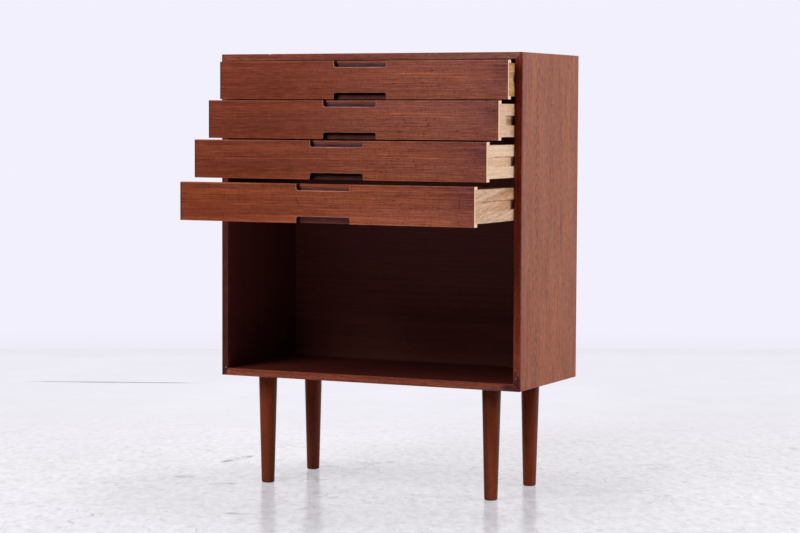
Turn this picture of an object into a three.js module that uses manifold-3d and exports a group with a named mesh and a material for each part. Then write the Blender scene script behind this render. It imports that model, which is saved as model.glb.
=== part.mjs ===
// A chest with four shallow drawers over an open compartment, on four turned legs.
// Millimetres, +Z up, the fronts face -Y and the origin is on the floor.

import * as THREE from 'three';
import { mergeVertices } from 'three/addons/utils/BufferGeometryUtils.js';
import Module from 'manifold-3d';

const wasm = await Module();
wasm.setup();

// Case: four mitred boards with solid strips along their front edges
const caseWidth = 700;
const caseDepth = 320;
const caseHeight = 695;
const boardThickness = 15;
const lippingDepth = 6;
const edgeEasing = 0.6;
const glueGap = 0.2;

// Back panel, let into a rebate round the rear edges
const backPanelThickness = 5;
const backPanelRecess = 2;
const rebateWidth = 8;
const rebatePlay = 0.5;

// Loose tongue hidden in each mitre
const splineThickness = 3;
const splineWidth = 12;
const splineStop = 20;
const splinePlay = 0.3;
const splinePlaceShare = 0.68;

// Legs, the steel plates that carry them and the bolts between them
const legLength = 231;
const legTopRadius = 20;
const legFootRadius = 14;
const footRounding = 3.5;
const legTopEasing = 0.8;
const legFromSide = 85;
const legFromFront = 53;
const plateSize = 60;
const plateThickness = 2.5;
const plateCorner = 6;
const bossRadius = 15;
const bossHeight = 3.5;
const boltRadius = 4;
const boltPlay = 0.3;
const boltInLeg = 38;
const boltInBoard = 9;
const boltChamfer = 0.8;
const boltEndRoom = 2;
const plateScrewInset = 8;

// Drawer fronts
const frontHeight = 80;
const frontThickness = 16;
const faceThickness = 1;
const drawerGap = 2.8;
const lowestDrawerGap = 7.5;
const topGap = 1.5;
const sideGap = 1;
const drawerCount = 4;

// Finger pulls let into the top and bottom edge of every front
const pullWidth = 122;
const pullHeight = 13.5;
const pullDepth = 13.5;
const pullCorner = 5;
const pullScoop = 1.5;

// Drawer boxes
const sideThickness = 12;
const sideSetback = 6.5;
const lapDepth = 10;
const rearGap = 4;
const jointPlay = 0.15;
const bottomThickness = 4;
const bottomRise = 10;
const bottomGrooveDepth = 4;
const drawerBackThickness = 10;
const drawerBackInset = 4;
const drawerBackDado = 4;
const drawerBackDrop = 3;

// Runner grooves in the drawer sides, ended by the sweep of a round cutter
const grooveHeight = 20;
const grooveDepth = 6;
const grooveStart = 33.5;
const grooveCutterRadius = 80;

// Runners on the case sides
const runnerPlayAbove = 0.3;
const runnerPlayBelow = 1.1;
const runnerPlayDepth = 1;
const runnerStopGap = 1;
const runnerNose = 4;
const runnerRearGap = 4;
const runnerScrewInset = 30;

// Countersunk wood screws, whose holes are in the runners and plates
const screwRadius = 1.8;
const screwHeadRadius = 3.4;
const screwHeadDepth = 1.8;

// How far each drawer stands open, from the top one down, as shares of its travel
const drawerTravel = 220;
const pulledOutShares = [0.165, 0.385, 0.655, 0.925];

// How far a cutting tool runs past the wood
const overrun = 8;

// Facets
const legFacets = 32;
const holeFacets = 12;
const boltFacets = 16;
const cornerSteps = 4;
const sweepSteps = 8;

// Places worked out from the sizes above
const pulledOut = pulledOutShares.map((share) => share * drawerTravel);
const caseBottomZ = legLength + bossHeight + plateThickness;
const caseCentreY = Math.max(...pulledOut) / 2;
const caseFrontY = -caseDepth / 2;
const caseRearY = caseDepth / 2;
const panelFrontY = caseFrontY + lippingDepth;
const rebateY = caseRearY - backPanelRecess - backPanelThickness;
const innerHalfWidth = caseWidth / 2 - boardThickness;
const frontHalfWidth = innerHalfWidth - sideGap;
const topFrontZ = caseHeight - boardThickness - topGap - frontHeight;
const frontPlaces = [topFrontZ];
while (frontPlaces.length < drawerCount) {
  const isLowest = frontPlaces.length === drawerCount - 1;
  const gapAbove = isLowest ? lowestDrawerGap : drawerGap;
  frontPlaces.push(frontPlaces.at(-1) - gapAbove - frontHeight);
}
const drawerLength = rebateY - rearGap - caseFrontY;
const sideBottomZ = sideSetback;
const sideTopZ = frontHeight - sideSetback;
const sideInnerX = frontHalfWidth - sideThickness;
const lapFrontY = frontThickness - lapDepth;
const bottomZ = sideBottomZ + bottomRise;
const grooveMiddleZ = frontHeight / 2;
const sweepLength = Math.sqrt(2 * grooveCutterRadius * grooveDepth - grooveDepth ** 2);
const sweepAngle = Math.acos((grooveCutterRadius - grooveDepth) / grooveCutterRadius);
const runnerThickness = sideGap + grooveDepth - runnerPlayDepth;
const mitreSetback = glueGap / Math.SQRT2;

// Finishes
const teakVeneer = { color: 0x8a5a4a, roughness: 0.5 };
const teakFace = { color: 0x80483a, roughness: 0.45 };
const teakSolid = { color: 0x6e3323, roughness: 0.48 };
const darkTeak = { color: 0x4a2018, roughness: 0.55 };
const paleWood = { color: 0xdfba92, roughness: 0.6 };
const plywood = { color: 0xc9a27a, roughness: 0.65 };
const steel = { color: 0x9a9a98, roughness: 0.4, metalness: 1 };

// A closed mesh as a solid for joining and cutting
function toSolid(geometry) {
  const bare = geometry.clone();
  bare.deleteAttribute('normal');
  bare.deleteAttribute('uv');
  const merged = mergeVertices(bare);
  const corners = [];
  for (let first = 0; first < merged.index.count; first += 3) {
    const a = merged.index.getX(first);
    const b = merged.index.getX(first + 1);
    const c = merged.index.getX(first + 2);
    if (a !== b && b !== c && c !== a) {
      corners.push(a, b, c);
    }
  }
  const mesh = new wasm.Mesh({
    numProp: 3,
    vertProperties: merged.attributes.position.array,
    triVerts: new Uint32Array(corners),
  });
  return new wasm.Manifold(mesh);
}

function toGeometry(solid) {
  const mesh = solid.getMesh();
  const geometry = new THREE.BufferGeometry();
  geometry.setAttribute('position', new THREE.BufferAttribute(mesh.vertProperties, 3));
  geometry.setIndex(new THREE.BufferAttribute(mesh.triVerts, 1));
  geometry.computeVertexNormals();
  return geometry;
}

function cut(geometry, ...tools) {
  const whole = toSolid(geometry);
  return toGeometry(tools.reduce((solid, tool) => solid.subtract(toSolid(tool)), whole));
}

function join(first, second) {
  return toGeometry(toSolid(first).add(toSolid(second)));
}

// A rectangular block between two limits on each axis
function block([lowX, highX], [lowY, highY], [lowZ, highZ]) {
  const geometry = new THREE.BoxGeometry(highX - lowX, highY - lowY, highZ - lowZ);
  return geometry.translate((lowX + highX) / 2, (lowY + highY) / 2, (lowZ + highZ) / 2);
}

function extruded(points, length) {
  return new THREE.ExtrudeGeometry(new THREE.Shape(points), { depth: length, bevelEnabled: false });
}

// A round piece turned about Z from a profile of radius and height
function turned(profile, facets) {
  const points = profile.map(([radius, height]) => new THREE.Vector2(radius, height));
  return new THREE.LatheGeometry(points, facets).rotateX(Math.PI / 2);
}

// Tool for a countersunk hole, its head at the origin and its shank running down
function screwHoleTool(depth) {
  return turned([
    [0, -depth - overrun],
    [screwRadius, -depth - overrun],
    [screwRadius, -screwHeadDepth],
    [screwHeadRadius, 0],
    [screwHeadRadius, overrun],
    [0, overrun],
  ], holeFacets);
}

function piece(name, geometry, finish) {
  const mesh = new THREE.Mesh(geometry, new THREE.MeshStandardMaterial(finish));
  mesh.name = name;
  return mesh;
}

// Case boards
// A board lies along X with its outer face up at height zero, and both ends are mitred.
function mitredBoard(outline, length) {
  const points = outline.map(([depth, inward]) => new THREE.Vector2(depth, -inward));
  const geometry = extruded(points, length);
  geometry.translate(0, 0, -length / 2);
  geometry.rotateY(Math.PI / 2);
  geometry.rotateX(Math.PI / 2);
  const places = geometry.attributes.position;
  for (let corner = 0; corner < places.count; corner += 1) {
    const end = Math.sign(places.getX(corner));
    places.setX(corner, end * (length / 2 + places.getZ(corner) - mitreSetback));
  }
  geometry.computeVertexNormals();
  return geometry;
}

// Tools for the tongue grooves in a board's two mitres, or the tongue itself when play is zero
function splineTool(length, end, play) {
  const inward = boardThickness * splinePlaceShare;
  const tongue = new THREE.BoxGeometry(
    splineWidth + 2 * play,
    rebateY - panelFrontY - 2 * splineStop + 2 * play,
    splineThickness + 2 * play,
  );
  tongue.rotateY(-end * Math.PI / 4);
  return tongue.translate(end * (length / 2 - inward), (panelFrontY + rebateY) / 2, -inward);
}

function panelBoard(length) {
  const shoulder = boardThickness - rebateWidth;
  const board = mitredBoard([
    [panelFrontY, 0],
    [caseRearY, 0],
    [caseRearY, shoulder],
    [rebateY, shoulder],
    [rebateY, boardThickness],
    [panelFrontY, boardThickness],
  ], length);
  return cut(board, splineTool(length, -1, splinePlay), splineTool(length, 1, splinePlay));
}

function lippingStrip(length) {
  return mitredBoard([
    [caseFrontY + edgeEasing, 0],
    [panelFrontY, 0],
    [panelFrontY, boardThickness],
    [caseFrontY + edgeEasing, boardThickness],
    [caseFrontY, boardThickness - edgeEasing],
    [caseFrontY, edgeEasing],
  ], length);
}

const legPlaces = [
  ['front_left', -1, -1],
  ['front_right', 1, -1],
  ['rear_left', -1, 1],
  ['rear_right', 1, 1],
].map(([name, sideways, backwards]) => ({
  name,
  x: sideways * (caseWidth / 2 - legFromSide),
  y: backwards * (caseDepth / 2 - legFromFront),
}));

const chestCase = new THREE.Group();
chestCase.position.set(0, caseCentreY, caseBottomZ + caseHeight / 2);

// The bottom board is drilled from below for the leg bolts
const boltHoles = legPlaces.map(({ x, y }) => block(
  [x - boltRadius - boltPlay, x + boltRadius + boltPlay],
  [y - boltRadius - boltPlay, y + boltRadius + boltPlay],
  [-boltInBoard - boltEndRoom, overrun],
));

const boardPlaces = [
  ['top', 0, caseWidth, 0, caseHeight / 2],
  ['bottom', Math.PI, caseWidth, 0, -caseHeight / 2],
  ['right', Math.PI / 2, caseHeight, caseWidth / 2, 0],
  ['left', -Math.PI / 2, caseHeight, -caseWidth / 2, 0],
];
for (const [name, turn, length, x, z] of boardPlaces) {
  const frame = new THREE.Group();
  frame.position.set(x, 0, z);
  frame.rotation.y = turn;
  const board = panelBoard(length);
  const panelName = length === caseHeight ? `${name}_side_panel` : `${name}_panel`;
  frame.add(piece(panelName, name === 'bottom' ? cut(board, ...boltHoles) : board, teakVeneer));
  frame.add(piece(`${name}_lipping`, lippingStrip(length), teakSolid));
  chestCase.add(frame);
}

for (const [name, sideways, upwards] of [
  ['top_left', -1, 1],
  ['top_right', 1, 1],
  ['bottom_left', -1, -1],
  ['bottom_right', 1, -1],
]) {
  const frame = new THREE.Group();
  frame.position.set(0, 0, upwards * caseHeight / 2);
  frame.rotation.y = upwards > 0 ? 0 : Math.PI;
  frame.add(piece(`${name}_spline`, splineTool(caseWidth, sideways * upwards, 0), plywood));
  chestCase.add(frame);
}

const backHalfWidth = caseWidth / 2 - boardThickness + rebateWidth - rebatePlay;
const backHalfHeight = caseHeight / 2 - boardThickness + rebateWidth - rebatePlay;
chestCase.add(piece('back_panel', block(
  [-backHalfWidth, backHalfWidth],
  [rebateY, rebateY + backPanelThickness],
  [-backHalfHeight, backHalfHeight],
), darkTeak));

// Runners, built at the height of their drawer's groove and screwed to the case sides
const runnerFrontY = caseFrontY + grooveStart + sweepLength + runnerStopGap;
const runnerRearY = rebateY - runnerRearGap;
const runnerTopZ = grooveHeight / 2 - runnerPlayAbove;
const runnerBottomZ = runnerPlayBelow - grooveHeight / 2;

function runnerStrip(side) {
  const outline = new THREE.Shape();
  outline.moveTo(runnerRearY, runnerBottomZ);
  outline.lineTo(runnerRearY, runnerTopZ);
  outline.lineTo(runnerFrontY + runnerNose, runnerTopZ);
  outline.absarc(
    runnerFrontY + runnerNose, runnerTopZ - runnerNose, runnerNose, Math.PI / 2, Math.PI, false,
  );
  outline.absarc(
    runnerFrontY + runnerNose, runnerBottomZ + runnerNose, runnerNose, Math.PI, 1.5 * Math.PI, false,
  );
  const strip = new THREE.ExtrudeGeometry(outline, {
    depth: runnerThickness,
    bevelEnabled: false,
    curveSegments: cornerSteps,
  });
  strip.rotateX(Math.PI / 2);
  strip.rotateZ(Math.PI / 2);
  const lowX = side > 0 ? innerHalfWidth - runnerThickness : -innerHalfWidth;
  strip.translate(lowX, 0, 0);
  const middleZ = (runnerTopZ + runnerBottomZ) / 2;
  const holes = [runnerFrontY + runnerScrewInset, runnerRearY - runnerScrewInset].map((y) => {
    const tool = screwHoleTool(runnerThickness).rotateY(-side * Math.PI / 2);
    return tool.translate(side * (innerHalfWidth - runnerThickness), y, middleZ);
  });
  return cut(strip, ...holes);
}

for (const [index, frontZ] of frontPlaces.entries()) {
  const frame = new THREE.Group();
  frame.position.z = frontZ + grooveMiddleZ - caseHeight / 2;
  frame.add(piece(`runner_${index + 1}_left`, runnerStrip(-1), paleWood));
  frame.add(piece(`runner_${index + 1}_right`, runnerStrip(1), paleWood));
  chestCase.add(frame);
}

// Legs
const legProfile = [
  [0, 0],
  [legFootRadius - footRounding, 0],
];
for (let step = 1; step <= cornerSteps; step += 1) {
  const angle = (step / cornerSteps) * (Math.PI / 2);
  legProfile.push([
    legFootRadius - footRounding + footRounding * Math.sin(angle),
    footRounding - footRounding * Math.cos(angle),
  ]);
}
legProfile.push(
  [legTopRadius, legLength - legTopEasing],
  [legTopRadius - legTopEasing, legLength],
  [boltRadius + boltPlay, legLength],
  [boltRadius + boltPlay, legLength - boltInLeg - boltEndRoom],
  [0, legLength - boltInLeg - boltEndRoom],
);

// Steel plate with a round boss below it that the leg is drawn up against
function legPlate() {
  const half = plateSize / 2;
  const straight = half - plateCorner;
  const outline = new THREE.Shape();
  outline.absarc(straight, straight, plateCorner, 0, Math.PI / 2, false);
  outline.absarc(-straight, straight, plateCorner, Math.PI / 2, Math.PI, false);
  outline.absarc(-straight, -straight, plateCorner, Math.PI, 1.5 * Math.PI, false);
  outline.absarc(straight, -straight, plateCorner, 1.5 * Math.PI, 2 * Math.PI, false);
  const sheet = new THREE.ExtrudeGeometry(outline, {
    depth: plateThickness,
    bevelEnabled: false,
    curveSegments: cornerSteps,
  });
  const boss = turned([
    [0, -bossHeight],
    [bossRadius, -bossHeight],
    [bossRadius, plateThickness / 2],
    [0, plateThickness / 2],
  ], legFacets);
  const bore = turned([
    [0, -bossHeight - overrun],
    [boltRadius + boltPlay, -bossHeight - overrun],
    [boltRadius + boltPlay, plateThickness + overrun],
    [0, plateThickness + overrun],
  ], boltFacets);
  const screwPlace = half - plateScrewInset;
  const screwHoles = [];
  for (const x of [-screwPlace, screwPlace]) {
    for (const y of [-screwPlace, screwPlace]) {
      screwHoles.push(screwHoleTool(plateThickness).rotateX(Math.PI).translate(x, y, 0));
    }
  }
  return cut(join(sheet, boss), bore, ...screwHoles);
}

const boltLength = boltInLeg + bossHeight + plateThickness + boltInBoard;
const boltProfile = [
  [0, 0],
  [boltRadius - boltChamfer, 0],
  [boltRadius, boltChamfer],
  [boltRadius, boltLength - boltChamfer],
  [boltRadius - boltChamfer, boltLength],
  [0, boltLength],
];

const undercarriage = new THREE.Group();
undercarriage.position.y = caseCentreY;
for (const { name, x, y } of legPlaces) {
  const frame = new THREE.Group();
  frame.position.set(x, y, 0);
  frame.add(piece(`leg_${name}`, turned(legProfile, legFacets), teakSolid));
  const plate = piece(`leg_plate_${name}`, legPlate(), steel);
  plate.position.z = legLength + bossHeight;
  frame.add(plate);
  const bolt = piece(`leg_bolt_${name}`, turned(boltProfile, boltFacets), steel);
  bolt.position.z = legLength - boltInLeg;
  frame.add(bolt);
  undercarriage.add(frame);
}

// Drawers
// Each is built with its face at depth zero and the lower edge of its front at height zero.
function pullTool() {
  const half = pullWidth / 2;
  const outline = new THREE.Shape();
  outline.moveTo(half, overrun);
  outline.lineTo(-half, overrun);
  outline.lineTo(-half, pullCorner - pullHeight);
  outline.absarc(pullCorner - half, pullCorner - pullHeight, pullCorner, Math.PI, 1.5 * Math.PI, false);
  outline.absarc(half - pullCorner, pullCorner - pullHeight, pullCorner, 1.5 * Math.PI, 2 * Math.PI, false);
  const tool = new THREE.ExtrudeGeometry(outline, {
    depth: pullDepth - pullScoop + overrun,
    bevelEnabled: true,
    bevelSize: pullScoop,
    bevelOffset: -pullScoop,
    bevelThickness: pullScoop,
    bevelSegments: cornerSteps,
    curveSegments: cornerSteps,
  });
  return tool.rotateX(Math.PI / 2).translate(0, pullDepth - pullScoop, 0);
}

function cutPulls(geometry) {
  const upper = pullTool().translate(0, 0, frontHeight);
  const lower = pullTool().rotateY(Math.PI);
  return cut(geometry, upper, lower);
}

function drawerFace() {
  return cutPulls(block([-frontHalfWidth, frontHalfWidth], [0, faceThickness], [0, frontHeight]));
}

// The front is lapped over the sides at its ends and grooved for the bottom
function drawerFront() {
  const body = block([-frontHalfWidth, frontHalfWidth], [faceThickness, frontThickness], [0, frontHeight]);
  const laps = [-1, 1].map((side) => {
    const inner = side * (sideInnerX - jointPlay);
    const outer = side * (frontHalfWidth + overrun);
    return block(
      [Math.min(inner, outer), Math.max(inner, outer)],
      [lapFrontY - jointPlay, frontThickness + overrun],
      [sideBottomZ - jointPlay, sideTopZ + jointPlay],
    );
  });
  const bottomGroove = block(
    [-frontHalfWidth - overrun, frontHalfWidth + overrun],
    [frontThickness - bottomGrooveDepth, frontThickness + overrun],
    [bottomZ - jointPlay, bottomZ + bottomThickness + jointPlay],
  );
  const groovedSpan = block(
    [jointPlay - sideInnerX, sideInnerX - jointPlay],
    [0, frontThickness + 2 * overrun],
    [0, frontHeight],
  );
  const groove = toGeometry(toSolid(bottomGroove).intersect(toSolid(groovedSpan)));
  return cut(cutPulls(body), ...laps, groove);
}

// The groove's front end follows the round cutter that made it
function grooveTool(side) {
  const sweepCentreX = frontHalfWidth + grooveCutterRadius - grooveDepth;
  const sweepEndY = grooveStart + sweepLength;
  const points = [];
  for (let step = 0; step <= sweepSteps; step += 1) {
    const angle = sweepAngle * (1 - step / sweepSteps);
    points.push(new THREE.Vector2(
      side * (sweepCentreX - grooveCutterRadius * Math.cos(angle)),
      sweepEndY - grooveCutterRadius * Math.sin(angle),
    ));
  }
  points.push(new THREE.Vector2(side * (frontHalfWidth - grooveDepth), drawerLength + overrun));
  points.push(new THREE.Vector2(side * (frontHalfWidth + overrun), drawerLength + overrun));
  points.push(new THREE.Vector2(side * (frontHalfWidth + overrun), grooveStart));
  return extruded(points, grooveHeight).translate(0, 0, grooveMiddleZ - grooveHeight / 2);
}

function drawerSide(side) {
  const span = (inner, outer) => [
    Math.min(side * inner, side * outer),
    Math.max(side * inner, side * outer),
  ];
  const body = block(span(sideInnerX, frontHalfWidth), [lapFrontY, drawerLength], [sideBottomZ, sideTopZ]);
  const bottomGroove = block(
    span(sideInnerX - overrun, sideInnerX + bottomGrooveDepth),
    [0, drawerLength + overrun],
    [bottomZ - jointPlay, bottomZ + bottomThickness + jointPlay],
  );
  const backRearY = drawerLength - drawerBackInset;
  const backDado = block(
    span(sideInnerX - overrun, sideInnerX + drawerBackDado),
    [backRearY - drawerBackThickness - jointPlay, backRearY + jointPlay],
    [bottomZ, frontHeight + overrun],
  );
  return cut(body, grooveTool(side), bottomGroove, backDado);
}

function drawerBack() {
  const halfWidth = sideInnerX + drawerBackDado - jointPlay;
  const rearY = drawerLength - drawerBackInset;
  return block(
    [-halfWidth, halfWidth],
    [rearY - drawerBackThickness, rearY],
    [bottomZ + bottomThickness + jointPlay, sideTopZ - drawerBackDrop],
  );
}

function drawerBottom() {
  const halfWidth = sideInnerX + bottomGrooveDepth - jointPlay;
  return block(
    [-halfWidth, halfWidth],
    [frontThickness - bottomGrooveDepth + jointPlay, drawerLength - drawerBackInset],
    [bottomZ, bottomZ + bottomThickness],
  );
}

const drawers = pulledOut.map((opening, index) => {
  const drawer = new THREE.Group();
  drawer.position.set(
    0,
    caseCentreY + caseFrontY - opening,
    caseBottomZ + frontPlaces[index],
  );
  const name = `drawer_${index + 1}`;
  drawer.add(piece(`${name}_face`, drawerFace(), teakFace));
  drawer.add(piece(`${name}_front`, drawerFront(), paleWood));
  drawer.add(piece(`${name}_left_side`, drawerSide(-1), paleWood));
  drawer.add(piece(`${name}_right_side`, drawerSide(1), paleWood));
  drawer.add(piece(`${name}_back`, drawerBack(), paleWood));
  drawer.add(piece(`${name}_bottom`, drawerBottom(), plywood));
  return drawer;
});

const chest = new THREE.Group();
chest.add(chestCase, undercarriage, ...drawers);

export default chest;
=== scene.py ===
import math
import bpy
from mathutils import Matrix, Vector


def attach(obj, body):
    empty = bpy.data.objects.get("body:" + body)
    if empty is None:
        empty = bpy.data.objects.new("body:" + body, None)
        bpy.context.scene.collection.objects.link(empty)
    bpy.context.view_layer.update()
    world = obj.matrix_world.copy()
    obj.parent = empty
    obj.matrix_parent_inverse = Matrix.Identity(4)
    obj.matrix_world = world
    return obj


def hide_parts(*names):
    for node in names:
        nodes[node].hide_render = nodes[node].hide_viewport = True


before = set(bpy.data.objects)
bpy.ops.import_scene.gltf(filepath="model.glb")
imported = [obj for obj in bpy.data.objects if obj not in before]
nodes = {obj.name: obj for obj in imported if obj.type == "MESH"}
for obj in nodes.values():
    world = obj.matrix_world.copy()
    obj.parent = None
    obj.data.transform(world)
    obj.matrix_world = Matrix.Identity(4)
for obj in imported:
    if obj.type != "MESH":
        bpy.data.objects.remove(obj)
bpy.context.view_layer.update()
mm = 0.001
# how near two points count as one, and how far a cutter stands out of the wood, in millimetres
hair = 0.01
overCut = 8
# in degrees: an edge sharper than that is eased, and shading is smooth over turns up to that
angles = dict(eased=35, flatPiece=40, roundPiece=30)
print("frame loaded,", len(nodes), "nodes")


# Work at the bench: small habits used for every piece

def goTo(mode):
    bpy.ops.object.mode_set(mode=mode)


def letGo():
    if bpy.context.object and bpy.context.object.mode != "OBJECT":
        goTo("OBJECT")
    bpy.ops.object.select_all(action="DESELECT")


def takeUp(piece):
    letGo()
    piece.select_set(True)
    bpy.context.view_layer.objects.active = piece


def settle(piece):
    # the place goes into the mesh, as in the CAD nodes
    takeUp(piece)
    bpy.ops.object.transform_apply(location=True, rotation=True, scale=True)
    return piece


def madeAs(name):
    # the object made last, under its own name
    piece = bpy.context.object
    piece.name = name
    return settle(piece)


def newBlock(name, spanX, spanY, spanZ):
    letGo()
    low, high = (Vector(corner) * mm for corner in zip(spanX, spanY, spanZ))
    bpy.ops.mesh.primitive_cube_add(size=1, location=(low + high) / 2, scale=high - low)
    return madeAs(name)


def newRound(name, foot, radius, height, sides=64, topRadius=None):
    # a round stock standing on the point foot
    letGo()
    bpy.ops.mesh.primitive_cone_add(
        vertices=sides, radius1=radius * mm, radius2=(topRadius or radius) * mm, depth=height * mm,
        location=(foot[0] * mm, foot[1] * mm, (foot[2] + height / 2) * mm))
    return madeAs(name)


def sawOff(piece, point, outward):
    # saws the piece through and drops what lies on the outward side
    takeUp(piece)
    goTo("EDIT")
    bpy.ops.mesh.select_all(action="SELECT")
    bpy.ops.mesh.bisect(plane_co=Vector(point) * mm, plane_no=outward, use_fill=True, clear_outer=True)
    goTo("OBJECT")


def discard(*pieces):
    for piece in pieces:
        bpy.data.objects.remove(piece)


def cutAway(piece, *cutters):
    for cutter in cutters:
        cut = piece.modifiers.new("cut", "BOOLEAN")
        cut.operation = "DIFFERENCE"
        cut.solver = "EXACT"
        cut.object = cutter
        takeUp(piece)
        bpy.ops.object.modifier_apply(modifier=cut.name)
        discard(cutter)


def shadeSoftly(piece, angle=angles["roundPiece"]):
    takeUp(piece)
    bpy.ops.object.shade_smooth_by_angle(angle=math.radians(angle))


def easeEdges(piece, width, steps=2, finishIndex=-1):
    # takes the sharpness off every arris; the eased faces can have a finish of their own
    ease = piece.modifiers.new("ease", "BEVEL")
    ease.width = width * mm
    ease.segments = steps
    ease.limit_method = "ANGLE"
    ease.angle_limit = math.radians(angles["eased"])
    ease.material = finishIndex
    takeUp(piece)
    bpy.ops.object.modifier_apply(modifier=ease.name)
    # flat faces stay flat in the light, and the eased edges turn softly into them
    shadeSoftly(piece, angles["flatPiece"])
    even = piece.modifiers.new("even", "WEIGHTED_NORMAL")
    even.keep_sharp = True
    even.weight = 100
    bpy.ops.object.modifier_apply(modifier=even.name)


def bevelWhere(piece, isChosen, width, steps):
    # rounds the edges whose two ends satisfy isChosen, both in millimetres
    takeUp(piece)
    goTo("EDIT")
    bpy.ops.mesh.select_mode(type="EDGE")
    bpy.ops.mesh.select_all(action="DESELECT")
    goTo("OBJECT")
    spots = [vertex.co / mm for vertex in piece.data.vertices]
    for edge in piece.data.edges:
        first, second = (spots[corner] for corner in edge.vertices)
        edge.select = isChosen(first, second)
    goTo("EDIT")
    bpy.ops.mesh.bevel(offset=width * mm, segments=steps, affect="EDGES")
    goTo("OBJECT")


def copyPiece(piece, name, shift=(0, 0, 0), turn=None, about=(0, 0, 0), mirrorX=False):
    takeUp(piece)
    bpy.ops.object.duplicate(linked=False)
    double = bpy.context.object
    if mirrorX:
        double.scale.x = -1
    if turn:
        axis, angle = turn
        double.matrix_world = Matrix.Translation(Vector(about) * mm) @ Matrix.Rotation(angle, 4, axis)
    double.location += Vector(shift) * mm
    madeAs(name)
    if mirrorX:
        goTo("EDIT")
        bpy.ops.mesh.select_all(action="SELECT")
        bpy.ops.mesh.normals_make_consistent(inside=False)
        goTo("OBJECT")
    return double


def finishFaces(piece, finishes, chooser=None):
    # finishes are the slots in order; chooser gives a face's slot from its middle and its direction
    piece.data.materials.clear()
    for finish in finishes:
        piece.data.materials.append(finish)
    if chooser:
        for face in piece.data.polygons:
            face.material_index = chooser(face.center / mm, face.normal)


def fit(piece, body, slot, *stoodFor):
    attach(piece, body)
    if stoodFor:
        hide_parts(*stoodFor)


# Finishes

def shade(red, green, blue):
    # a colour as it is read on a screen, from 0 to 255
    parts = [value / 255 for value in (red, green, blue)]
    return tuple(p / 12.92 if p <= 0.04045 else ((p + 0.055) / 1.055) ** 2.4 for p in parts) + (1,)


def feed(tree, node, given):
    # sets or links the node's sockets, by name or by number
    for socket, value in given.items():
        if isinstance(value, bpy.types.NodeSocket):
            tree.links.new(value, node.inputs[socket])
        else:
            node.inputs[socket].default_value = value


def newNode(tree, kind, given, **settings):
    # a shader node with its settings, fed with what is given
    node = tree.nodes.new(kind)
    for setting, value in settings.items():
        setattr(node, setting, value)
    feed(tree, node, given)
    return node


def startFinish(name):
    finish = bpy.data.materials.new(name)
    finish.use_nodes = True
    tree = finish.node_tree
    tree.nodes.clear()
    surface = tree.nodes.new("ShaderNodeBsdfPrincipled")
    newNode(tree, "ShaderNodeOutputMaterial", {"Surface": surface.outputs["BSDF"]})
    place = tree.nodes.new("ShaderNodeTexCoord").outputs["Object"]
    return finish, tree, surface, place


def mapped(tree, source, stretch=(1, 1, 1), shift=(0, 0, 0), turn=(0, 0, 0)):
    given = {"Scale": stretch, "Location": shift, "Rotation": turn, "Vector": source}
    return newNode(tree, "ShaderNodeMapping", given).outputs["Vector"]


def noise(tree, source, seed, detail=2.0, rough=0.5, wantColour=False):
    given = {"W": seed, "Scale": 1, "Detail": detail, "Roughness": rough, "Vector": source}
    node = newNode(tree, "ShaderNodeTexNoise", given, noise_dimensions="4D")
    return node.outputs[1 if wantColour else 0]


def ranged(tree, value, low, high, toLow=0.0, toHigh=1.0, smooth=False):
    given = {"Value": value, "From Min": low, "From Max": high, "To Min": toLow, "To Max": toHigh}
    kind = "SMOOTHSTEP" if smooth else "LINEAR"
    return newNode(tree, "ShaderNodeMapRange", given, interpolation_type=kind).outputs["Result"]


def reckon(tree, kind, first, second=0.0):
    return newNode(tree, "ShaderNodeMath", {0: first, 1: second}, operation=kind).outputs[0]


def times(tree, first, second):
    return reckon(tree, "MULTIPLY", first, second)


def vectorOf(tree, kind, given):
    return newNode(tree, "ShaderNodeVectorMath", given, operation=kind).outputs[0]


def blend(tree, share, under, over, kind="MIX"):
    given = {0: share, 6: under, 7: over}
    return newNode(tree, "ShaderNodeMix", given, data_type="RGBA", blend_type=kind).outputs[2]


def mixed(tree, share, under, over):
    # two shaders in one
    return newNode(tree, "ShaderNodeMixShader", {0: share, 1: under, 2: over}).outputs[0]


def lighter(tree, colour, factor):
    return vectorOf(tree, "SCALE", {0: colour, "Scale": factor})


def axes(tree, source):
    return dict(zip("XYZ", newNode(tree, "ShaderNodeSeparateXYZ", {0: source}).outputs))


def spotMask(tree, source, spot, halfSize, turn=(0, 0, 0)):
    # 1 at the middle of a soft oval of that half size in millimetres, 0 outside it
    given = {"Location": [c * mm for c in spot], "Rotation": turn, "Scale": [half * mm for half in halfSize],
             "Vector": source}
    oval = newNode(tree, "ShaderNodeMapping", given, vector_type="TEXTURE").outputs["Vector"]
    return newNode(tree, "ShaderNodeTexGradient", {0: oval}, gradient_type="SPHERICAL").outputs[1]


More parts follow.
